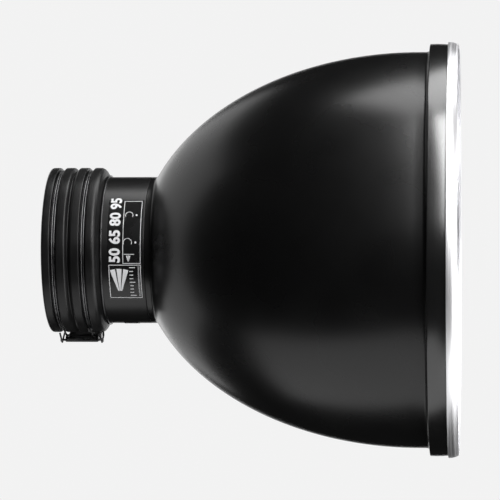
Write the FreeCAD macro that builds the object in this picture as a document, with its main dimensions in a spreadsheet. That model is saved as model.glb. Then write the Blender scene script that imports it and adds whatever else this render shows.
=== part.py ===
"""A wide zoom reflector for a studio flash head, as an assembly of separate pieces.

The light leaves along +X. The origin is the middle of the rubber collar's bore, which grips the flash head.
The clamp's lever is underneath, at -Z. Every size is a cell of the sheet, in millimetres and degrees.
Stations along the axis are measured from the collar's rear face; each body is then placed so that
the middle of the bore lies on the origin.
"""

import FreeCAD, Part
import math
import os
import re

import Sketcher

DOC = FreeCAD.newDocument("zoom_reflector")
SHEET = DOC.addObject("Spreadsheet::Sheet", "sizes")

SIZES = {
    # the rubber collar, from its rear face
    "collar_len": 40.6,
    "collar_rad": 58.6,
    "rib_round": 1.6,
    "bore_rad": 50.0,
    "bore_start": 2.0,
    "bore_end": 34.0,
    "lead_in_rad": 52.4,
    "groove_floor": 55.6,
    "vee_floor": 56.0,
    "groove_half": 2.1,
    "rear_groove": 8.2,
    "vee_groove": 18.4,
    "front_groove": 28.8,
    "shoulder": 37.4,
    "relief_rad": 50.9,
    "relief_half": 0.9,
    # the neck
    "neck_rad": 52.0,
    "neck_wall": 0.8,
    "flange_rad": 55.0,
    "flange_at": 34.6,
    "seam": 71.4,
    "ring_rad": 53.3,
    "ring_width": 1.3,
    "gap": 0.05,
    # the bowl
    "spigot_start": 62.0,
    "spigot_gap": 0.05,
    "spigot_wall": 0.5,
    "sheet_wall": 1.2,
    "bowl_half_len": 198.5,
    "bowl_rad": 139.5,
    "bowl_centre": 260.0,
    "bowl_end": 266.5,
    "step_len": 2.6,
    "band_rad": 145.2,
    "band_end": 287.6,
    # the bright ring on the rim
    "trim_start": 281.8,
    "trim_end": 289.3,
    "trim_wall": 1.15,
    "trim_lip_rad": 144.3,
    # the clamp's wires, its pin and its lever
    "wire_rad": 0.65,
    "hoop_rad": 56.4,
    "strand_gap": 0.75,
    "cross_over": 262.0,
    "hook_len": 12.0,
    "bend_rad": 1.4,
    "bar_end_len": 4.2,
    "bar_end_offset": 12.65,
    "bar_eye_sweep": 235.0,
    "latch_mid": 20.7,
    "hook_offset": 14.3,
    "pivot_drop": 64.2,
    "bar_reach": 4.6,
    "bar_angle": 47.0,
    "pin_rad": 0.8,
    "pin_head_rad": 1.3,
    "pin_head_len": 0.5,
    "lever_half": 11.7,
    "cheek_wall": 1.2,
    "lever_in": 62.3,
    "lever_out": 65.6,
    "lever_root": 5.0,
    "lever_sweep": 32.0,
    "cam_rad": 2.8,
    "cam_shift": 0.7,
    "tab_len": 7.0,
    "tab_lift": 12.0,
    "lever_round": 0.7,
    # the printed film on the neck, and the small label beneath it
    "film_wall": 0.15,
    "film_start": 45.8,
    "film_end": 70.2,
    "film_sweep": 84.0,
    "plate_start": 52.0,
    "plate_end": 62.0,
    "label_sweep": 18.0,
    "label_wall": 0.35,
}

ROW = 1
for alias, value in SIZES.items():
    SHEET.set(f"A{ROW}", alias)
    SHEET.set(f"B{ROW}", str(value))
    SHEET.setAlias(f"B{ROW}", alias)
    ROW += 1
DOC.recompute()

PARTS = []  # the objects that are written out, one for each node
SHIFT = -(SIZES["bore_start"] + SIZES["bore_end"]) / 2


def size(alias):
    """The number in a cell of the sheet."""
    return float(SHEET.get(alias))


def worked_out(text):
    """The value of an expression written with the sheet's aliases, worked out in a spare cell."""
    SHEET.set("D1", "=" + text)
    SHEET.recompute()
    return float(SHEET.get("D1"))


def bound(text):
    """The same expression as another object of the document writes it."""
    return re.sub(r"[a-z_]+", lambda m: "sizes." + m.group() if m.group() in SIZES else m.group(), text)


def keep(obj, label):
    """Names a finished sub-part and lists it for writing."""
    obj.Label = label
    PARTS.append(obj)
    return obj


def origin_plane(body, role):
    """One of a body's own origin planes or axes."""
    return next(f for f in body.Origin.OriginFeatures if f.Role == role)


def pin_point(sketch, geo, pos, across, up):
    """Holds one point of a sketch at two expressions, measured from the sketch's origin."""
    for kind, text in (("DistanceX", across), ("DistanceY", up)):
        if text is None:
            continue
        value = worked_out(text)
        if abs(value) < 1e-9:
            axis = -2 if kind == "DistanceX" else -1
            sketch.addConstraint(Sketcher.Constraint("PointOnObject", geo, pos, axis))
        elif value > 0:
            n = sketch.addConstraint(Sketcher.Constraint(kind, -1, 1, geo, pos, value))
            sketch.setExpression(f"Constraints[{n}]", bound(text))
        else:
            n = sketch.addConstraint(Sketcher.Constraint(kind, geo, pos, -1, 1, -value))
            sketch.setExpression(f"Constraints[{n}]", bound(f"-({text})"))


def outline(body, role, corners):
    """A closed sketch on a body's own plane. Each corner is (across, up, how the edge to the next corner runs).

    An edge is "line", ("arc", radius, turn) with turn +1 for a left-hand bend and -1 for a right-hand one,
    or ("ellipse", centre, half length, half height), which leaves the point where it meets a line free
    in the direction given as None.
    """
    sketch = body.newObject("Sketcher::SketchObject", body.Name + "_outline")
    sketch.AttachmentSupport = [(origin_plane(body, role), "")]
    sketch.MapMode = "FlatFace"
    places = [corner_place(c) for c in corners]
    for i, (across, up, edge) in enumerate(corners):
        a, b = places[i], places[(i + 1) % len(places)]
        if edge == "line":
            sketch.addGeometry(Part.LineSegment(a, b), False)
        elif edge[0] == "arc":
            sketch.addGeometry(arc_between(a, b, worked_out(edge[1]), edge[2]), False)
        else:
            sketch.addGeometry(ellipse_between(a, b, *[worked_out(t) for t in edge[1:]]), False)
    starts = [start_of(sketch, i, places[i]) for i in range(len(corners))]
    for i in range(len(corners)):
        j = (i + 1) % len(corners)
        end = 3 - starts[i]
        sketch.addConstraint(Sketcher.Constraint("Coincident", i, end, j, starts[j]))
    for i, (across, up, edge) in enumerate(corners):
        free_across = isinstance(across, tuple)
        free_up = isinstance(up, tuple)
        pin_point(sketch, i, starts[i], None if free_across else across, None if free_up else up)
        if edge != "line" and edge[0] == "arc":
            n = sketch.addConstraint(Sketcher.Constraint("Radius", i, worked_out(edge[1])))
            sketch.setExpression(f"Constraints[{n}]", bound(edge[1]))
    for i, (across, up, edge) in enumerate(corners):
        if edge != "line" and edge[0] == "ellipse":
            hold_ellipse(sketch, i, *edge[1:])
    return sketch


def corner_place(corner):
    """A corner's first position. A free coordinate is a tuple of one expression, only a first guess."""
    across, up = (c[0] if isinstance(c, tuple) else c for c in corner[:2])
    return FreeCAD.Vector(worked_out(across), worked_out(up), 0)


def start_of(sketch, geo, place):
    """1 or 2: which end of an edge lies at its first corner. Arcs always run anticlockwise."""
    return 1 if sketch.getPoint(geo, 1).distanceToPoint(place) < 1e-4 else 2


def arc_between(a, b, radius, turn):
    """The shorter arc from a to b with that radius, bending to the left or to the right."""
    chord = b - a
    half = chord.Length / 2
    across = FreeCAD.Vector(-chord.y, chord.x, 0).normalize()
    centre = (a + b) * 0.5 + across * (turn * math.sqrt(max(radius**2 - half**2, 0)))
    circle = Part.Circle(centre, FreeCAD.Vector(0, 0, 1), radius)
    first, last = (a, b) if turn > 0 else (b, a)
    return Part.ArcOfCircle(circle, circle.parameter(first), circle.parameter(last))


def ellipse_between(a, b, centre, half_len, half_height):
    """The quarter-like arc of an ellipse whose long axis lies on the sketch's horizontal axis."""
    middle = FreeCAD.Vector(centre, 0, 0)
    tip = middle + FreeCAD.Vector(half_len, 0, 0)
    ellipse = Part.Ellipse(tip, middle + FreeCAD.Vector(0, half_height, 0), middle)
    spans = sorted(ellipse.parameter(p) for p in (a, b))
    return Part.ArcOfEllipse(ellipse, *spans)


def hold_ellipse(sketch, geo, centre, half_len, half_height):
    """Holds an elliptical arc's centre and its two half axes at expressions."""
    before = sketch.GeometryCount
    sketch.exposeInternalGeometry(geo)
    n = sketch.addConstraint(Sketcher.Constraint("DistanceX", -1, 1, geo, 3, worked_out(centre)))
    sketch.setExpression(f"Constraints[{n}]", bound(centre))
    sketch.addConstraint(Sketcher.Constraint("PointOnObject", geo, 3, -1))
    sketch.addConstraint(Sketcher.Constraint("PointOnObject", before, 1, -1))
    for line, text in ((before, half_len), (before + 1, half_height)):
        n = sketch.addConstraint(Sketcher.Constraint("Distance", line, 2 * worked_out(text)))
        sketch.setExpression(f"Constraints[{n}]", bound(f"2 * ({text})"))


def turned(label, corners, sweep=None):
    """A body turned about the reflector's axis from a profile of (station, radius) corners."""
    body = DOC.addObject("PartDesign::Body", label)
    sketch = outline(body, "XY_Plane", corners)
    spin = body.newObject("PartDesign::Revolution", label + "_turned")
    spin.Profile = sketch
    spin.ReferenceAxis = (sketch, ["H_Axis"])
    spin.Angle = 360
    if sweep:
        spin.setExpression("Angle", bound(sweep))
        spin.Midplane = True
    body.Placement.Base = FreeCAD.Vector(SHIFT, 0, 0)
    return keep(body, label)


# ---- the pieces turned about the axis ----


def rubber_collar():
    """Four ribs outside, with two wire grooves and a vee between them, and three gripping lands inside."""
    outside = [("0", "collar_rad - rib_round", ("arc", "rib_round", -1)), ("rib_round", "collar_rad", "line")]
    for middle in ("rear_groove", "front_groove"):
        if middle == "front_groove":
            outside += [
                ("vee_groove - groove_half", "collar_rad", "line"),
                ("vee_groove - 0.4", "vee_floor", "line"),
                ("vee_groove + 0.4", "vee_floor", "line"),
                ("vee_groove + groove_half", "collar_rad", "line"),
            ]
        outside += [
            (f"{middle} - groove_half - 0.3", "collar_rad", "line"),
            (f"{middle} - groove_half", "collar_rad - 0.5", "line"),
            (f"{middle} - groove_half", "groove_floor", "line"),
            (f"{middle} + groove_half", "groove_floor", "line"),
            (f"{middle} + groove_half", "collar_rad - 0.5", "line"),
            (f"{middle} + groove_half + 0.3", "collar_rad", "line"),
        ]
    outside += [
        ("shoulder - rib_round", "collar_rad", ("arc", "rib_round * 1.6", -1)),
        ("shoulder", "collar_rad - 1.1", "line"),
        ("collar_len - 0.6", "neck_rad + 1.4", ("arc", "1.2", -1)),
        ("collar_len", "neck_rad + gap", "line"),
    ]
    inside = [
        ("flange_at + neck_wall + gap", "neck_rad + gap", "line"),
        ("flange_at + neck_wall + gap", "flange_rad + gap", "line"),
        ("flange_at - gap", "flange_rad + gap", "line"),
        ("flange_at - gap", "bore_rad + 1", "line"),
        ("bore_end", "bore_rad", "line"),
    ]
    for share in ("0.66", "0.33"):
        middle = f"bore_start + (bore_end - bore_start) * {share}"
        inside += [
            (f"{middle} + relief_half", "bore_rad", "line"),
            (f"{middle}", "relief_rad", "line"),
            (f"{middle} - relief_half", "bore_rad", "line"),
        ]
    inside += [("bore_start", "bore_rad", "line"), ("0", "lead_in_rad", "line")]
    return turned("rubber_collar", outside + inside)


def neck_tube():
    """A thin tube with a flange at its rear end, which the rubber is moulded round."""
    return turned(
        "neck_tube",
        [
            ("flange_at", "neck_rad - neck_wall", "line"),
            ("flange_at", "flange_rad", "line"),
            ("flange_at + neck_wall", "flange_rad", "line"),
            ("flange_at + neck_wall", "neck_rad", "line"),
            ("seam - 0.3", "neck_rad", "line"),
            ("seam", "neck_rad - 0.3", "line"),
            ("seam", "neck_rad - neck_wall", "line"),
        ],
    )


def collar_ring():
    """The pressed ring in front of the collar."""
    return turned(
        "collar_retaining_ring",
        [
            ("collar_len + gap", "neck_rad + gap", "line"),
            ("collar_len + gap", "ring_rad - 0.3", "line"),
            ("collar_len + gap + 0.3", "ring_rad", "line"),
            ("collar_len + ring_width - 0.3", "ring_rad", "line"),
            ("collar_len + ring_width", "ring_rad - 0.3", "line"),
            ("collar_len + ring_width", "neck_rad + gap", "line"),
        ],
    )


def reflector_bowl():
    """One spun sheet: a spigot inside the neck, a half ellipse, and a stepped band at the mouth."""
    spigot = "neck_rad - neck_wall - spigot_gap"
    step = "bowl_end + step_len"
    start = "bowl_centre - bowl_half_len * sqrt(1 - (neck_rad / bowl_rad) ^ 2)"
    inner_long, inner_high = "bowl_half_len - sheet_wall", "bowl_rad - sheet_wall"
    throat = f"({spigot} - spigot_wall)"
    inner_start = f"bowl_centre - ({inner_long}) * sqrt(1 - ({throat} / ({inner_high})) ^ 2)"
    return turned(
        "reflector_bowl",
        [
            ("spigot_start", spigot, "line"),
            ("seam + 0.1", spigot, "line"),
            ("seam + 0.1", "neck_rad - 0.3", "line"),
            ("seam + 0.4", "neck_rad", "line"),
            ((start,), "neck_rad", ("ellipse", "bowl_centre", "bowl_half_len", "bowl_rad")),
            ("bowl_centre", ("bowl_rad",), "line"),
            ("bowl_end", "bowl_rad", ("arc", "step_len", 1)),
            (step, "bowl_rad + step_len", "line"),
            (step, "band_rad", "line"),
            ("band_end", "band_rad", "line"),
            ("band_end", "band_rad - sheet_wall", "line"),
            (f"{step} + sheet_wall", "band_rad - sheet_wall", "line"),
            (f"{step} + sheet_wall", "bowl_rad + step_len", ("arc", "step_len + sheet_wall", -1)),
            ("bowl_end", "bowl_rad - sheet_wall", "line"),
            ("bowl_centre", (inner_high,), ("ellipse", "bowl_centre", inner_long, inner_high)),
            ((inner_start,), throat, "line"),
            ("spigot_start", throat, "line"),
        ],
    )


def rim_ring():
    """The bright ring pressed over the band's front edge, with a lip folded across it."""
    inside = "band_rad + gap"
    outside = "band_rad + gap + trim_wall"
    return turned(
        "rim_trim_ring",
        [
            ("trim_start", inside, "line"),
            ("trim_start", f"{outside} - 0.3", "line"),
            ("trim_start + 0.3", outside, "line"),
            ("trim_end - 0.7", outside, ("arc", "0.7", -1)),
            ("trim_end", f"{outside} - 0.7", "line"),
            ("trim_end", "trim_lip_rad + 0.3", "line"),
            ("trim_end - 0.3", "trim_lip_rad", "line"),
            ("band_end + gap", "trim_lip_rad", "line"),
            ("band_end + gap", inside, "line"),
        ],
    )


def film(label, start, end, wall, sweep, middle):
    """A thin label wrapped round the neck. middle is the angle of its centre about +X, from +Y."""
    body = turned(
        label,
        [
            (start, "neck_rad", "line"),
            (start, f"neck_rad + {wall}", "line"),
            (end, f"neck_rad + {wall}", "line"),
            (end, "neck_rad", "line"),
        ],
        sweep,
    )
    body.Placement.Rotation = FreeCAD.Rotation(FreeCAD.Vector(1, 0, 0), middle)
    return body


# ---- the clamp ----

DOWN = -90.0  # the direction of -Z in the plane across the axis, from +Y


def polar(radius, angle, station):
    """A point at that radius and angle about the axis, with 0 degrees at +Y and 90 at +Z."""
    a = math.radians(angle)
    return FreeCAD.Vector(station, radius * math.cos(a), radius * math.sin(a))


def pivot(station):
    """The lever's pivot axis, below the collar."""
    return polar(size("pivot_drop"), DOWN, station)


def bar(station):
    """The rear wire's crossbar, beside the pivot and nearer the collar."""
    return pivot(station) + polar(size("bar_reach"), size("bar_angle"), 0)


def blend_corner(before, corner, after):
    """The points of a round bend of the wire at a corner of its path."""
    back, ahead = (before - corner).normalize(), (after - corner).normalize()
    half = back.getAngle(ahead) / 2
    reach = size("bend_rad") / math.tan(half)
    middle = corner + (back + ahead).normalize() * (size("bend_rad") / math.sin(half))
    first, last = corner + back * reach - middle, corner + ahead * reach - middle
    turn = first.getAngle(last)
    side = (last - first * math.cos(turn)) * (1 / math.sin(turn))
    return [middle + first * math.cos(turn * i / 6) + side * math.sin(turn * i / 6) for i in range(7)]


def arc_points(radius, from_angle, to_angle, station, centre_drop=0.0, step=6.0):
    """Points along an arc across the axis, about the axis or about a line below it."""
    count = max(3, int(abs(to_angle - from_angle) / step))
    turn = (to_angle - from_angle) / count
    drop = FreeCAD.Vector(0, 0, -centre_drop)
    return [polar(radius, from_angle + turn * i, station) + drop for i in range(count + 1)]


def straight(a, b, count=4):
    """Points inside a straight run, so that the curve through them stays straight."""
    return [a + (b - a) * (i / (count + 1)) for i in range(1, count + 1)]


def hook_radius():
    """The bend of the wire's middle line under the pin."""
    return size("pin_rad") + size("wire_rad") + size("gap")


def latch_lean():
    """The angle at the axis between straight down and where the hook's legs meet the groove."""
    return math.degrees(math.acos((size("hoop_rad") - hook_radius()) / size("pivot_drop")))


def two_turns(groove, side):
    """The wire from its hook to where it leaves the groove for the second time, and the strand it leaves on.

    The hook goes under the pin and rises on the far side. The wire then runs twice round the collar,
    and crosses from the outer strand to the inner one at the bottom. side is -1 for the rear groove and
    +1 for the front one.
    """
    hoop, strand, lean = size("hoop_rad"), size("strand_gap"), latch_lean()
    outer, inner = groove + SHIFT + side * strand, groove + SHIFT - side * strand
    under = size("latch_mid") + SHIFT + side * size("hook_offset")
    round_pin = arc_points(hook_radius(), DOWN - lean, DOWN + lean, under, size("pivot_drop"), 12.0)
    rising = (polar(hoop, DOWN - lean, under) - round_pin[0]).normalize() * size("hook_len")
    end, near = round_pin[0] + rising, round_pin[-1]
    joins = polar(hoop, DOWN + lean, outer)
    knee = near + (polar(hoop, DOWN + lean, under) - near) * 0.35
    path = [end] + straight(end, round_pin[0]) + round_pin + straight(near, knee, 3) + straight(knee, joins, 3)
    path += arc_points(hoop, DOWN + lean, size("cross_over"), outer)
    path += crossing(hoop, size("cross_over"), DOWN + lean + 360, outer, inner)
    return path, inner


def crossing(radius, from_angle, to_angle, from_station, to_station, count=6):
    """Points along an arc that also moves along the axis."""
    points = []
    for i in range(1, count):
        share = i / count
        angle = from_angle + (to_angle - from_angle) * share
        points.append(polar(radius, angle, from_station + (to_station - from_station) * share))
    return points


def second_turn(meet, leave, station):
    """The second time round, on the inner strand, from the far side to where it leaves on the near side."""
    return arc_points(size("hoop_rad"), meet, leave + 720, station)


def round_wire(name, path):
    """A round wire that follows a smooth curve, lofted through a circle at each point of its path."""
    curve = Part.BSplineCurve()
    curve.interpolate(path)
    side = FreeCAD.Vector(1, 0, 0)
    sections = []
    for n, point in enumerate(path):
        ahead = FreeCAD.Vector(*curve.tangent(curve.parameter(point))[0])
        side = (side - ahead * side.dot(ahead)).normalize()
        turn = FreeCAD.Rotation(side, ahead.cross(side), ahead, "ZXY")
        section = DOC.addObject("Part::Circle", f"{name}_section_{n}")
        section.setExpression("Radius", bound("wire_rad"))
        section.Placement = FreeCAD.Placement(point, turn)
        sections.append(section)
    loft = DOC.addObject("Part::Loft", name)
    loft.Sections = sections
    loft.Solid = True
    loft.Ruled = True
    return keep(loft, name)


def leave_angle(touch_radius):
    """Where the wire leaves the groove for a circle of that radius about the crossbar."""
    corner = bar(0)
    away = math.hypot(corner.y, corner.z)
    return math.degrees(math.atan2(corner.z, corner.y) - math.acos((size("hoop_rad") - touch_radius) / away))


def rear_clamp_wire():
    """The rear wire: a hook under the pin, two turns, and the crossbar with its end turned down."""
    path, station = two_turns(size("rear_groove"), -1)
    path += second_turn(DOWN + latch_lean() + 360, leave_angle(0.0), station)
    left = path[-1]
    corner = bar(station)
    end = bar(size("latch_mid") + SHIFT + size("bar_end_offset"))
    tip = end + FreeCAD.Vector(0, 0, -size("bar_end_len"))
    first = blend_corner(left, corner, end)
    second = blend_corner(corner, end, tip)
    path += straight(left, first[0]) + first + straight(first[-1], second[0], 6) + second
    path += straight(second[-1], tip, 2) + [tip]
    return round_wire("rear_clamp_wire", path)


def front_clamp_wire():
    """The front wire: a hook under the pin, two turns, and an eye that closes round the crossbar."""
    path, station = two_turns(size("front_groove"), 1)
    eye = 2 * size("wire_rad") + size("gap")
    leave = leave_angle(eye)
    path += second_turn(DOWN + latch_lean() + 360, leave, station)
    corner = bar(0)
    loop = [p + FreeCAD.Vector(0, corner.y, corner.z) for p in
            arc_points(eye, leave, leave + size("bar_eye_sweep"), station, 0.0, 15.0)]
    path += straight(path[-1], loop[0]) + loop
    return round_wire("front_clamp_wire", path)


def along_axis(name, radius, first, last):
    """A round bar about the lever's pivot, between two stations."""
    piece = DOC.addObject("Part::Cylinder", name)
    piece.setExpression("Radius", bound(radius))
    piece.Height = last - first
    turn = FreeCAD.Rotation(FreeCAD.Vector(0, 0, 1), FreeCAD.Vector(1, 0, 0))
    piece.Placement = FreeCAD.Placement(pivot(first), turn)
    return piece


def fulcrum_pin():
    """The lever's pin, with a head peened over at each end, outside the wires' hooks."""
    reach = size("hook_offset") + size("wire_rad") + size("gap")
    middle = size("latch_mid") + SHIFT
    head = size("pin_head_len")
    shank = along_axis("pin_shank", "pin_rad", middle - reach - head, middle + reach + head)
    rear = along_axis("pin_rear_head", "pin_head_rad", middle - reach - head, middle - reach)
    front = along_axis("pin_front_head", "pin_head_rad", middle + reach, middle + reach + head)
    fused = DOC.addObject("Part::MultiFuse", "fulcrum_pin")
    fused.Shapes = [shank, rear, front]
    return keep(fused, "fulcrum_pin")


def round_hole(body, name, across, up, radius, length):
    """A hole straight through a body along X."""
    sketch = body.newObject("Sketcher::SketchObject", name + "_sketch")
    sketch.AttachmentSupport = [(origin_plane(body, "YZ_Plane"), "")]
    sketch.MapMode = "FlatFace"
    middle = FreeCAD.Vector(worked_out(across), worked_out(up), 0)
    circle = Part.Circle(middle, FreeCAD.Vector(0, 0, 1), worked_out(radius))
    sketch.addGeometry(circle, False)
    pin_point(sketch, 0, 3, across, up)
    n = sketch.addConstraint(Sketcher.Constraint("Radius", 0, worked_out(radius)))
    sketch.setExpression(f"Constraints[{n}]", bound(radius))
    hole = body.newObject("PartDesign::Pocket", name)
    hole.Profile = sketch
    hole.Midplane = True
    hole.setExpression("Length", bound(length))
    return hole


def outer_edges(shape):
    """The names of the two long curved edges along the lever's outside."""
    reach = size("lever_out")
    names = []
    for i, edge in enumerate(shape.Edges):
        curved = hasattr(edge.Curve, "Radius") and abs(edge.Curve.Radius - reach) < 1e-3
        if curved and abs(abs(edge.CenterOfMass.x) - size("lever_half")) < 1e-3:
            names.append(f"Edge{i + 1}")
    return names


def rounded_edges(body, name, base, edges):
    """A fillet on those edges of the body's last feature."""
    fillet = body.newObject("PartDesign::Fillet", name)
    fillet.Base = (base, edges)
    fillet.setExpression("Radius", bound("lever_round"))
    return fillet


def latch_lever():
    """A pressed channel that lies along the collar: a curved plate, two cheeks with cams, and a finger tab."""
    body = DOC.addObject("PartDesign::Body", "latch_lever")
    end = "lever_sweep"
    tip_dir = "(lever_sweep - tab_lift)"
    y_out, z_out = f"lever_out * sin({end})", f"-lever_out * cos({end})"
    y_in, z_in = f"lever_in * sin({end})", f"-lever_in * cos({end})"
    plate = "(lever_out - cheek_wall)"
    y_plate, z_plate = f"{plate} * sin({end})", f"-{plate} * cos({end})"
    cam_y = "cam_shift * cos(bar_angle)"
    cam_z = "cam_shift * sin(bar_angle) - pivot_drop"
    sketch = outline(
        body,
        "YZ_Plane",
        [
            ("0", "-lever_out", ("arc", "lever_out", 1)),
            (y_out, z_out, "line"),
            (f"{y_out} + tab_len * cos{tip_dir}", f"{z_out} + tab_len * sin{tip_dir}", "line"),
            (
                f"{y_out} + tab_len * cos{tip_dir} - cheek_wall * sin{tip_dir}",
                f"{z_out} + tab_len * sin{tip_dir} + cheek_wall * cos{tip_dir}",
                "line",
            ),
            (y_plate, z_plate, "line"),
            (y_in, z_in, ("arc", "lever_in", -1)),
            ("lever_in * sin(lever_root)", "-lever_in * cos(lever_root)", "line"),
            (f"{cam_y} + cam_rad * cos(15)", f"{cam_z} + cam_rad * sin(15)", ("arc", "cam_rad", 1)),
            (f"{cam_y} - cam_rad * cos(15)", f"{cam_z} + cam_rad * sin(15)", "line"),
            (f"{cam_y} - cam_rad * cos(15)", "-pivot_drop - 0.4", "line"),
            ("-1.2", "-lever_out", "line"),
        ],
    )
    block = body.newObject("PartDesign::Pad", "lever_block")
    block.Profile = sketch
    block.Midplane = True
    block.setExpression("Length", bound("2 * lever_half"))
    inside = outline(
        body,
        "YZ_Plane",
        [
            ("0", f"-{plate}", ("arc", plate, 1)),
            (f"{plate} * sin({end} + 2)", f"-{plate} * cos({end} + 2)", "line"),
            ("lever_out * sin(45)", "-bore_rad", "line"),
            ("-10", "-bore_rad", "line"),
            ("-10", f"-{plate}", "line"),
        ],
    )
    hollow = body.newObject("PartDesign::Pocket", "lever_hollow")
    hollow.Profile = inside
    hollow.Midplane = True
    hollow.setExpression("Length", bound("2 * (lever_half - cheek_wall)"))
    hole = round_hole(body, "pin_hole", "0", "-pivot_drop", "pin_rad + gap", "2 * lever_half + 2")
    DOC.recompute()
    body.Tip = rounded_edges(body, "lever_rounds", hole, outer_edges(hole.Shape))
    body.Placement.Base = FreeCAD.Vector(size("latch_mid") + SHIFT, 0, 0)
    return keep(body, "latch_lever")


def build():
    """Makes every piece of the reflector."""
    reflector_bowl()
    rim_ring()
    neck_tube()
    collar_ring()
    rubber_collar()
    film("beam_scale_label", "film_start", "film_end", "film_wall", "film_sweep", 180.0)
    film("rating_label", "plate_start", "plate_end", "label_wall", "label_sweep", DOWN)
    rear_clamp_wire()
    front_clamp_wire()
    fulcrum_pin()
    latch_lever()


build()
DOC.recompute()
for obj in DOC.Objects:
    if "Invalid" in obj.State or "Error" in obj.State:
        raise SystemExit(f"{obj.Name} failed: {obj.State} {obj.getStatusString()}")
os.makedirs("parts", exist_ok=True)
for obj in PARTS:
    shape = obj.Shape
    if shape.isNull() or not shape.isValid():
        raise SystemExit(f"{obj.Label} is not a valid shape")
    shape.exportStep(f"parts/{obj.Label}.step")
    box = shape.BoundBox
    print(f"{obj.Label}: {len(shape.Solids)} solids, {shape.Volume:.0f} mm3, X {box.XMin:.1f}..{box.XMax:.1f}")
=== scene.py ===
"""A zoom reflector for a studio flash head: smooth turned pieces, a printed label, finishes and light.

Sizes are in millimetres, measured along the axis from the collar's rear face, as on a drawing.
The frame's origin is the middle of the collar's bore, so a station of 18 mm is X = 0.
The lever is underneath.
"""

import math

import bmesh
import bpy
from mathutils import Matrix, Vector


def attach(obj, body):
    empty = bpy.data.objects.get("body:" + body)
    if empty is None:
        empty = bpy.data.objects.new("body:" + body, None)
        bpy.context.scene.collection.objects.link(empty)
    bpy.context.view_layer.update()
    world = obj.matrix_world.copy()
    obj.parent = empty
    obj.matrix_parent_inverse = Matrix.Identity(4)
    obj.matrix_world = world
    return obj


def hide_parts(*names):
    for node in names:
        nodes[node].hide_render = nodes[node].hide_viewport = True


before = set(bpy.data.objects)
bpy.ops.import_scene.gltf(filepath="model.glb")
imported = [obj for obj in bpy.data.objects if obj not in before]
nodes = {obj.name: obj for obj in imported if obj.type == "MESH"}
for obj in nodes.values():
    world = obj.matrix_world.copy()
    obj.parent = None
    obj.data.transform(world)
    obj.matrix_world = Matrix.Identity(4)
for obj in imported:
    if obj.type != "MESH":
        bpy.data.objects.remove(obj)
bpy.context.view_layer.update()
MM = 0.001
ORIGIN = 18.0  # the frame's origin, as a station
TURNS = 256  # faces round a turned piece

COLLAR_RAD, BORE_RAD, GROOVE_FLOOR, GROOVE_HALF = 58.6, 50.0, 55.6, 2.1
BORE_START, BORE_END, COLLAR_END = 2.0, 34.0, 40.6
REAR_GROOVE, VEE_GROOVE, FRONT_GROOVE = 8.2, 18.4, 28.8
NECK_RAD, NECK_WALL, FLANGE_RAD, FLANGE_AT = 52.0, 0.8, 55.0, 34.6
SEAM = 71.4  # where the neck meets the bowl
SPIGOT_START, SPIGOT_RAD, THROAT_RAD = 62.0, 51.15, 50.65
GAP = 0.05  # between pieces that fit together
SHEET = 1.2
BOWL_CENTRE, BOWL_HALF_LEN, BOWL_RAD = 260.0, 198.5, 139.5
BOWL_END, STEP = 266.5, 2.6
BAND_RAD, BAND_END = 145.2, 287.6
TRIM_START, TRIM_END, TRIM_LIP_RAD = 281.8, 289.3, 144.0
PAINTED, BRIGHT, GLOSSY = 0, 1, 2  # the bowl's material slots


# ---- shapes ----


def arc(centre, radius, start, end, count=5):
    """Points on an arc of a profile, from one angle to another."""
    angles = (math.radians(start + (end - start) * i / count) for i in range(count + 1))
    return [(centre[0] + radius * math.cos(a), centre[1] + radius * math.sin(a)) for a in angles]


def soften(corners, count=4):
    """A closed profile with rounded corners, each (station, radius) or (station, radius, rounding)."""
    out = []
    for i, corner in enumerate(corners):
        here = Vector(corner[:2])
        if len(corner) == 2:
            out.append(tuple(here))
            continue
        back = Vector(corners[i - 1][:2]) - here
        ahead = Vector(corners[(i + 1) % len(corners)][:2]) - here
        reach = min(corner[2], back.length * 0.49, ahead.length * 0.49)
        first, last = here + back.normalized() * reach, here + ahead.normalized() * reach
        for k in range(count + 1):
            w = k / count
            out.append(tuple((1 - w) ** 2 * first + 2 * w * (1 - w) * here + w**2 * last))
    return out


def lathe(name, profile, slots=None):
    """A closed profile turned about the axis. slots holds the material slot of each of its edges."""
    bm = bmesh.new()
    rings = []
    for station, radius in profile:
        ring = []
        for k in range(TURNS):
            a = 2 * math.pi * k / TURNS
            place = Vector((station - ORIGIN, -radius * math.cos(a), radius * math.sin(a)))
            ring.append(bm.verts.new(place * MM))
        rings.append(ring)
    for i, ring in enumerate(rings):
        beside = rings[(i + 1) % len(rings)]
        for k in range(TURNS):
            n = (k + 1) % TURNS
            face = bm.faces.new((ring[k], ring[n], beside[n], beside[k]))
            face.material_index = slots[i] if slots else 0
    bmesh.ops.recalc_face_normals(bm, faces=bm.faces)
    return finish_mesh(name, bm)


def finish_mesh(name, bm):
    """Turns a bmesh into a smooth-shaded piece that rides on the reflector."""
    mesh = bpy.data.meshes.new(name)
    bm.to_mesh(mesh)
    bm.free()
    piece = bpy.data.objects.new(name, mesh)
    bpy.context.scene.collection.objects.link(piece)
    shade(piece, 38.0)
    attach(piece, "reflector")
    return piece


def shade(piece, angle):
    """Smooth shading, with an edge kept sharp where it turns by more than the angle."""
    piece.data.polygons.foreach_set("use_smooth", [True] * len(piece.data.polygons))
    piece.data.set_sharp_from_angle(angle=math.radians(angle))


def ellipse_profile(half_len, half_height, first, last, count):
    """Points on an ellipse about the bowl's centre, at even steps of its angle, between two stations."""
    a, b = (math.acos((s - BOWL_CENTRE) / half_len) for s in (first, last))
    angles = (a + (b - a) * i / count for i in range(count + 1))
    return [(BOWL_CENTRE + half_len * math.cos(t), half_height * math.sin(t)) for t in angles]


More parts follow.
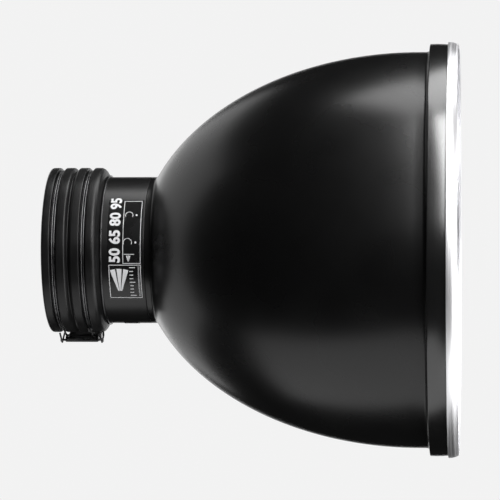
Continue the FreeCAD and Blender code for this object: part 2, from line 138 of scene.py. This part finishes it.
def make_bowl():
    """The spun bowl, with its spigot, step and band, painted outside and bright inside."""
    start = BOWL_CENTRE - BOWL_HALF_LEN * math.sqrt(1 - (NECK_RAD / BOWL_RAD) ** 2)
    long_in, high_in = BOWL_HALF_LEN - SHEET, BOWL_RAD - SHEET
    inner_start = BOWL_CENTRE - long_in * math.sqrt(1 - (THROAT_RAD / high_in) ** 2)
    step = BOWL_END + STEP
    outside = [(SPIGOT_START, SPIGOT_RAD), (SEAM + 0.1, SPIGOT_RAD)]
    outside += [(SEAM + 0.1, NECK_RAD - 0.3), (SEAM + 0.4, NECK_RAD)]
    outside += [(start - 1.2, NECK_RAD), (start - 0.5, NECK_RAD + 0.12)]
    outside += ellipse_profile(BOWL_HALF_LEN, BOWL_RAD, start + 0.5, BOWL_CENTRE, 96)
    outside += arc((BOWL_END, BOWL_RAD + STEP), STEP, -90, 0, 8)
    outside += arc((step + 0.5, BAND_RAD - 0.56), 0.5, 180, 100, 5)
    crown = [270.2 + 11.4 * i / 10 for i in range(11)]
    outside += [(s, BAND_RAD - 0.0054 * (s - 273.5) ** 2) for s in crown]
    outside += [(BAND_END, BAND_RAD - 0.4)]
    before_band = sum(s < step + 0.1 for s, r in outside)
    inside = [(BAND_END, BAND_RAD - SHEET)]
    inside += arc((step + SHEET + 0.5, BAND_RAD - SHEET - 0.5), 0.5, 90, 180, 4)
    inside += arc((BOWL_END, BOWL_RAD + STEP), STEP + SHEET, 0, -90, 8)
    inside += ellipse_profile(long_in, high_in, BOWL_CENTRE, inner_start, 96)
    inside += [(SPIGOT_START, THROAT_RAD)]
    slots = [PAINTED] * before_band + [GLOSSY] * (len(outside) - 1 - before_band)
    slots += [BRIGHT] * (len(inside) + 1)
    bowl = lathe("bowl", outside + inside, slots)
    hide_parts("reflector_bowl")
    return bowl


def make_rim():
    """The bright ring pressed on the band's edge, crowned outside, with a lip folded across the edge."""
    inside, outside = BAND_RAD + GAP, BAND_RAD + 1.2
    crown = [283.4 + 5.4 * i / 8 for i in range(9)]
    corners = [(TRIM_START, inside - 0.3, 0.1), (TRIM_START, outside, 0.35)]
    corners += [(s, outside - 0.04 * (s - 282.6) ** 2) for s in crown]
    corners += [
        (TRIM_END, outside - 2.2, 0.5),
        (TRIM_END, TRIM_LIP_RAD, 0.3),
        (BAND_END + GAP, TRIM_LIP_RAD, 0.1),
        (BAND_END + GAP, inside - 0.3, 0.1),
    ]
    rim = lathe("rim_ring", soften(corners, 6))
    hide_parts("rim_trim_ring")
    return rim


def make_neck():
    """The thin tube between the collar and the bowl."""
    inside = NECK_RAD - NECK_WALL
    corners = [
        (FLANGE_AT, inside, 0.2),
        (FLANGE_AT, FLANGE_RAD, 0.2),
        (FLANGE_AT + NECK_WALL, FLANGE_RAD, 0.2),
        (FLANGE_AT + NECK_WALL, NECK_RAD, 0.2),
        (SEAM, NECK_RAD, 0.35),
        (SEAM, inside, 0.2),
    ]
    neck = lathe("neck", soften(corners))
    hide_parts("neck_tube")
    return neck


def make_ring():
    """The pressed ring in front of the collar."""
    rear, front, inside, outside = COLLAR_END + GAP, COLLAR_END + 1.3, NECK_RAD + GAP, 53.3
    corners = [(rear, inside, 0.1), (rear, outside, 0.35), (front, outside, 0.5), (front, inside, 0.1)]
    ring = lathe("collar_ring", soften(corners, 5))
    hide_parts("collar_retaining_ring")
    return ring


def make_collar():
    """The rubber collar: rounded ribs, two wire grooves and a vee outside, gripping lands inside."""
    top, half = COLLAR_RAD, GROOVE_HALF
    corners = [(0.0, 52.4, 0.8), (0.0, top, 1.8)]
    for middle in (REAR_GROOVE, VEE_GROOVE, FRONT_GROOVE):
        if middle == VEE_GROOVE:
            corners += [(middle - half, top, 0.9), (middle - 0.4, 56.0, 0.4), (middle + 0.4, 56.0, 0.4)]
            corners += [(middle + half, top, 0.9)]
        else:
            corners += [(middle - half - 0.15, top, 0.8), (middle - half, GROOVE_FLOOR, 0.35)]
            corners += [(middle + half, GROOVE_FLOOR, 0.35), (middle + half + 0.15, top, 0.55)]
    corners += [(37.2, top, 2.6), (40.0, 53.4, 0.9), (COLLAR_END, NECK_RAD + GAP, 0.2)]
    pocket_end, pocket_rad = FLANGE_AT + NECK_WALL + GAP, FLANGE_RAD + GAP
    corners += [(pocket_end, NECK_RAD + GAP), (pocket_end, pocket_rad), (FLANGE_AT - GAP, pocket_rad)]
    corners += [(FLANGE_AT - GAP, BORE_RAD + 1), (BORE_END, BORE_RAD, 0.2)]
    for share in (0.66, 0.33):
        middle = BORE_START + (BORE_END - BORE_START) * share
        corners += [(middle + 0.9, BORE_RAD, 0.25), (middle, 50.9, 0.25), (middle - 0.9, BORE_RAD, 0.25)]
    corners += [(BORE_START, BORE_RAD, 0.5)]
    collar = lathe("collar", soften(corners, 6))
    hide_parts("rubber_collar")
    return collar


# ---- the printed label ----

FILM_RAD = NECK_RAD + 0.15
PRINT_RISE = 0.025  # how far the print stands above the film
PRINT_SINK = 0.005  # and how far it reaches into it


def stroke(bm, points, width):
    """A flat line of the print through points (across, up), in millimetres."""
    for a, b in zip(points, points[1:]):
        a, b = Vector((*a, 0)), Vector((*b, 0))
        along = (b - a).normalized() * width / 2
        side = Vector((-along.y, along.x, 0))
        corners = (a - along - side, b + along - side, b + along + side, a - along + side)
        bm.faces.new([bm.verts.new(p) for p in corners])


def frame_of(bm, left, right, low, high, width):
    """A rectangle drawn as a line."""
    stroke(bm, [(left, low), (right, low), (right, high), (left, high), (left, low)], width)


def reflector_icon(bm, middle, low, wide, width, lamp):
    """A bowl seen from the side and a dot for its lamp."""
    points = [(middle + dx, low + dy) for dx, dy in arc((0, 0), wide, 200, -20, 14)]
    stroke(bm, points, width)
    dot = [bm.verts.new((middle + lamp + dx, low + dy, 0)) for dx, dy in arc((0, 0), 0.75, 0, 337, 15)]
    bm.faces.new(dot)


def fan_icon(bm, middle, low, reach, half_turn):
    """Three tapered rays spreading from a point, each half_turn degrees to either side of its middle."""
    for turn in (-13, 0, 13):
        sides = [(reach * 0.2, -half_turn), (reach, -half_turn), (reach, half_turn), (reach * 0.2, half_turn)]
        corners = []
        for far, half in sides:
            t = math.radians(90 + turn + half)
            corners.append(bm.verts.new((middle + far * math.cos(t), low + far * math.sin(t), 0)))
        bm.faces.new(corners)


def numerals(bm, text, left, low, tall):
    """Figures of the scale, turned to read up the neck."""
    curve = bpy.data.curves.new("numerals", "FONT")
    curve.body = text
    curve.size = tall
    curve.offset = 0.035 * tall
    curve.resolution_u = 4
    holder = bpy.data.objects.new("numerals", curve)
    bpy.context.scene.collection.objects.link(holder)
    bpy.context.view_layer.update()
    mesh = bpy.data.meshes.new_from_object(holder)
    bpy.data.objects.remove(holder)
    turn = Matrix.Translation((left + tall * 0.72, low, 0)) @ Matrix.Rotation(math.radians(90), 4, "Z")
    mesh.transform(turn)
    bm.from_mesh(mesh)
    bpy.data.meshes.remove(mesh)


def make_print():
    """The pale print of the beam scale: figures, frames, and small drawings of beams."""
    bm = bmesh.new()
    line = 0.42
    numerals(bm, "50 65 80 95", 47.0, -9.0, 10.2)
    frame_of(bm, 56.8, 69.0, -9.4, 37.0, line)
    frame_of(bm, 46.9, 69.0, -36.0, -10.6, line)
    stroke(bm, [(57.6, -3.0), (64.6, -3.0)], line)
    reflector_icon(bm, 60.6, 25.2, 2.6, line, 5.2)
    reflector_icon(bm, 60.0, 5.2, 2.9, line, 5.6)
    fan_icon(bm, 60.6, -9.0, 5.2, 4.5)
    fan_icon(bm, 54.0, -34.2, 21.0, 5.0)
    for k in range(9):
        long = 3.4 if k % 4 == 0 else 2.0
        stroke(bm, [(61.4, -34.0 + k * 2.7), (61.4 + long, -34.0 + k * 2.7)], 0.6)
    for k in range(26):
        stroke(bm, [(67.2, -34.4 + k * 0.9), (67.2 + 0.7, -34.4 + k * 0.9)], 0.34)
    bmesh.ops.triangulate(bm, faces=bm.faces)
    for v in range(-40, 41):
        everything = bm.verts[:] + bm.edges[:] + bm.faces[:]
        bmesh.ops.bisect_plane(bm, geom=everything, plane_co=(0, v, 0), plane_no=(0, 1, 0))
    raised = bmesh.ops.extrude_face_region(bm, geom=bm.faces[:])
    for vert in (g for g in raised["geom"] if isinstance(g, bmesh.types.BMVert)):
        vert.co.z = PRINT_RISE + PRINT_SINK
    for vert in bm.verts:
        a = vert.co.y / FILM_RAD
        radius = FILM_RAD + vert.co.z - PRINT_SINK
        place = Vector((vert.co.x - ORIGIN, -radius * math.cos(a), radius * math.sin(a)))
        vert.co = place * MM
    bmesh.ops.recalc_face_normals(bm, faces=bm.faces)
    printed = finish_mesh("beam_scale_print", bm)
    return printed


# ---- finishes ----


def material(name, color, roughness, metallic=0.0):
    """A new material with its plain values set on the shader itself."""
    made = bpy.data.materials.new(name)
    made.use_nodes = True
    shader = made.node_tree.nodes["Principled BSDF"]
    shader.inputs["Base Color"].default_value = (*color, 1)
    shader.inputs["Roughness"].default_value = roughness
    shader.inputs["Metallic"].default_value = metallic
    return made, made.node_tree, shader


def grain(tree, scale, stretch=(1, 1, 1), detail=3.0):
    """Noise in the object's own coordinates. A small stretch draws it out along that axis."""
    coords = tree.nodes.new("ShaderNodeTexCoord")
    mapping = tree.nodes.new("ShaderNodeMapping")
    noise = tree.nodes.new("ShaderNodeTexNoise")
    mapping.inputs["Scale"].default_value = stretch
    noise.inputs["Scale"].default_value = scale
    noise.inputs["Detail"].default_value = detail
    tree.links.new(coords.outputs["Object"], mapping.inputs["Vector"])
    tree.links.new(mapping.outputs["Vector"], noise.inputs["Vector"])
    return noise.outputs["Fac"]


def vary(tree, fac, socket, low, high, span=(0.35, 0.65)):
    """Drives a number from low to high by a noise."""
    node = tree.nodes.new("ShaderNodeMapRange")
    node.inputs["From Min"].default_value, node.inputs["From Max"].default_value = span
    node.inputs["To Min"].default_value, node.inputs["To Max"].default_value = low, high
    tree.links.new(fac, node.inputs["Value"])
    tree.links.new(node.outputs["Result"], socket)


def tint(tree, fac, socket, dark, light, span=(0.35, 0.65)):
    """Drives a colour between two by a noise."""
    ramp = tree.nodes.new("ShaderNodeValToRGB")
    ramp.color_ramp.elements[0].position, ramp.color_ramp.elements[1].position = span
    ramp.color_ramp.elements[0].color = (*dark, 1)
    ramp.color_ramp.elements[1].color = (*light, 1)
    tree.links.new(fac, ramp.inputs["Fac"])
    tree.links.new(ramp.outputs["Color"], socket)


def bumps(tree, shader, *layers):
    """Bump from several noises, each (noise, depth in metres, strength)."""
    normal = None
    for fac, depth, strength in layers:
        bump = tree.nodes.new("ShaderNodeBump")
        bump.inputs["Distance"].default_value = depth
        bump.inputs["Strength"].default_value = strength
        tree.links.new(fac, bump.inputs["Height"])
        if normal:
            tree.links.new(normal, bump.inputs["Normal"])
        normal = bump.outputs["Normal"]
    tree.links.new(normal, shader.inputs["Normal"])


def gray(value):
    """A neutral colour."""
    return (value, value, value * 1.02)


def paint(name, value, roughness, ior=1.5):
    """Satin black paint on spun sheet: a fine orange peel over faint turning rings."""
    made, tree, shader = material(name, gray(value), roughness)
    shader.inputs["IOR"].default_value = ior
    cloud, peel = grain(tree, 14, detail=4), grain(tree, 1500)
    rings = grain(tree, 420, (1, 0.01, 0.01), 2)
    tint(tree, cloud, shader.inputs["Base Color"], gray(value * 0.85), gray(value * 1.15))
    vary(tree, cloud, shader.inputs["Roughness"], roughness - 0.015, roughness + 0.02)
    bumps(tree, shader, (rings, 0.00004, 0.12), (peel, 0.00003, 0.35))
    return made


def spun_silver(name, value, roughness, depth=0.00003):
    """Bright sheet metal with the rings that spinning and brushing leave."""
    made, tree, shader = material(name, gray(value), roughness, 1.0)
    rings = grain(tree, 900, (1, 0.004, 0.004), 4)
    cloud = grain(tree, 22, detail=4)
    tint(tree, cloud, shader.inputs["Base Color"], gray(value * 0.96), gray(value * 1.03))
    vary(tree, rings, shader.inputs["Roughness"], roughness * 0.8, roughness * 1.25)
    bumps(tree, shader, (rings, depth, 0.35))
    return made


def rubber(name):
    """Moulded black rubber with a fine matte skin and a little bloom."""
    made, tree, shader = material(name, gray(0.005), 0.4)
    shader.inputs["IOR"].default_value = 1.42
    cloud, skin = grain(tree, 55, detail=5), grain(tree, 2600, detail=2)
    tint(tree, cloud, shader.inputs["Base Color"], gray(0.004), gray(0.007))
    vary(tree, cloud, shader.inputs["Roughness"], 0.34, 0.44)
    bumps(tree, shader, (cloud, 0.0002, 0.1), (skin, 0.00005, 0.5))
    return made


def steel(name, value, roughness):
    """Plated steel with fine drawing marks along X and a slightly uneven plating."""
    made, tree, shader = material(name, gray(value), roughness, 1.0)
    cloud, marks = grain(tree, 130, detail=5), grain(tree, 2400, (0.06, 1, 1))
    tint(tree, cloud, shader.inputs["Base Color"], gray(value * 0.8), gray(value * 1.15))
    vary(tree, cloud, shader.inputs["Roughness"], roughness * 0.8, roughness * 1.3)
    bumps(tree, shader, (marks, 0.00003, 0.35))
    return made


def film(name, value, roughness):
    """Smooth printed film with a faint ripple."""
    made, tree, shader = material(name, gray(value), roughness)
    ripple = grain(tree, 90, detail=2)
    tint(tree, ripple, shader.inputs["Base Color"], gray(value * 0.95), gray(min(1, value * 1.05)))
    vary(tree, ripple, shader.inputs["Roughness"], roughness * 0.9, roughness * 1.1)
    bumps(tree, shader, (ripple, 0.00008, 0.2))
    return made


def wear(piece, *finishes):
    """Puts these materials in a piece's slots. Clearing an empty list would lose the faces' slots."""
    if piece.data.materials:
        piece.data.materials.clear()
    for finish in finishes:
        piece.data.materials.append(finish)


# ---- the stage ----


def make_camera():
    """A long lens level with the axis, a little in front of the rim's plane."""
    camera = bpy.data.cameras.new("camera")
    camera.lens = 198.74
    camera.sensor_width = 36
    camera.clip_start, camera.clip_end = 0.05, 30
    holder = bpy.data.objects.new("camera", camera)
    bpy.context.scene.collection.objects.link(holder)
    place, aim = Vector((0.29206, -1.9536, 0)), Vector((0.12298, 0, 0))
    holder.location = place
    holder.rotation_euler = (aim - place).to_track_quat("-Z", "Y").to_euler()
    bpy.context.scene.camera = holder


def softbox(name, place, aim, wide, tall, radiance):
    """A soft panel of even brightness, aimed at a point. The camera doesn't see it."""
    light = bpy.data.lights.new(name, "AREA")
    light.shape = "RECTANGLE"
    light.size, light.size_y = wide, tall
    light.energy = radiance * math.pi * wide * tall
    holder = bpy.data.objects.new(name, light)
    bpy.context.scene.collection.objects.link(holder)
    holder.location = place
    holder.rotation_euler = (Vector(aim) - Vector(place)).to_track_quat("-Z", "Y").to_euler()
    holder.visible_camera = False


def make_stage():
    """A pale floor that is clear from underneath, a pale surround for the camera, and the soft panels."""
    bm = bmesh.new()
    bmesh.ops.create_grid(bm, x_segments=8, y_segments=8, size=1.3)
    mesh = bpy.data.meshes.new("floor")
    bm.to_mesh(mesh)
    bm.free()
    floor = bpy.data.objects.new("floor", mesh)
    floor.location = (0.13, 0, -0.42)
    floor.visible_glossy = floor.visible_diffuse = floor.visible_shadow = False
    bpy.context.scene.collection.objects.link(floor)
    made, tree, shader = material("floor_paper", gray(0.5), 0.9)
    shader.inputs["Emission Color"].default_value = (*gray(0.62), 1)
    shader.inputs["Emission Strength"].default_value = 1.0
    side, clear = tree.nodes.new("ShaderNodeNewGeometry"), tree.nodes.new("ShaderNodeBsdfTransparent")
    mix = tree.nodes.new("ShaderNodeMixShader")
    tree.links.new(side.outputs["Backfacing"], mix.inputs["Fac"])
    tree.links.new(shader.outputs["BSDF"], mix.inputs[1])
    tree.links.new(clear.outputs["BSDF"], mix.inputs[2])
    tree.links.new(mix.outputs["Shader"], tree.nodes["Material Output"].inputs["Surface"])
    wear(floor, made)
    world = bpy.data.worlds.new("surround")
    bpy.context.scene.world = world
    world.use_nodes = True
    tree = world.node_tree
    tree.nodes.clear()
    path = tree.nodes.new("ShaderNodeLightPath")
    seen, cast = tree.nodes.new("ShaderNodeBackground"), tree.nodes.new("ShaderNodeBackground")
    mix, out = tree.nodes.new("ShaderNodeMixShader"), tree.nodes.new("ShaderNodeOutputWorld")
    seen.inputs["Color"].default_value = (0.89, 0.89, 0.89, 1)
    cast.inputs["Color"].default_value = (0.008, 0.008, 0.008, 1)
    tree.links.new(path.outputs["Is Camera Ray"], mix.inputs["Fac"])
    tree.links.new(cast.outputs["Background"], mix.inputs[1])
    tree.links.new(seen.outputs["Background"], mix.inputs[2])
    tree.links.new(mix.outputs["Shader"], out.inputs["Surface"])
    bpy.context.scene.view_settings.view_transform = "Standard"
    softbox("backdrop", (0.1, 1.5, 0.0), (0.1, 0, 0), 3.2, 1.0, 1.1)
    softbox("left_wing", (-1.4, 1.0, 0.15), (0.15, 0, 0), 2.5, 3.0, 0.85)
    softbox("tall_key", (0.5, -0.85, 0.85), (0.3, 0, 0), 0.3, 1.5, 12.0)
    softbox("overhead", (0.6, 0.4, 1.4), (0.35, 0.2, 0), 0.7, 1.6, 4.2)
    softbox("right_panel", (1.5, -0.9, 0.1), (0.27, 0, 0), 1.4, 1.6, 2.6)
    softbox("low_right", (1.0, -0.3, -0.9), (0.27, 0, -0.1), 1.0, 1.0, 2.6)
    softbox("front_card", (2.2, 0.1, 0.1), (0.3, 0, 0), 2.4, 2.4, 1.5)
    softbox("low_fill", (-0.05, -0.3, -1.1), (0.1, -0.05, 0), 1.3, 1.0, 0.95)


# ---- putting it together ----

make_camera()
make_stage()
bowl, rim, neck, ring, collar = make_bowl(), make_rim(), make_neck(), make_ring(), make_collar()
printed = make_print()

outer = paint("bowl_paint", 0.003, 0.27)
wear(bowl, outer, spun_silver("bowl_silver", 0.88, 0.22), paint("band_paint", 0.004, 0.22, 1.85))
wear(rim, spun_silver("rim_aluminium", 0.9, 0.38, 0.00002))
wear(neck, paint("neck_paint", 0.004, 0.32))
wear(ring, steel("ring_metal", 0.09, 0.34))
wear(collar, rubber("collar_rubber"))
wear(printed, film("print_ink", 0.8, 0.4))
wear(nodes["beam_scale_label"], film("scale_film", 0.008, 0.26))
wear(nodes["rating_label"], film("rating_film", 0.012, 0.3))
wires = steel("wire_steel", 0.16, 0.38)
wear(nodes["rear_clamp_wire"], wires)
wear(nodes["front_clamp_wire"], wires)
wear(nodes["fulcrum_pin"], steel("pin_steel", 0.3, 0.3))
wear(nodes["latch_lever"], steel("lever_steel", 0.055, 0.32))
for name in ("rear_clamp_wire", "front_clamp_wire", "fulcrum_pin", "latch_lever",
             "beam_scale_label", "rating_label"):
    shade(nodes[name], 35.0)
edge = nodes["latch_lever"].modifiers.new("pressed_edges", "BEVEL")
edge.width, edge.segments, edge.limit_method, edge.angle_limit = 0.00025, 2, "ANGLE", math.radians(35)
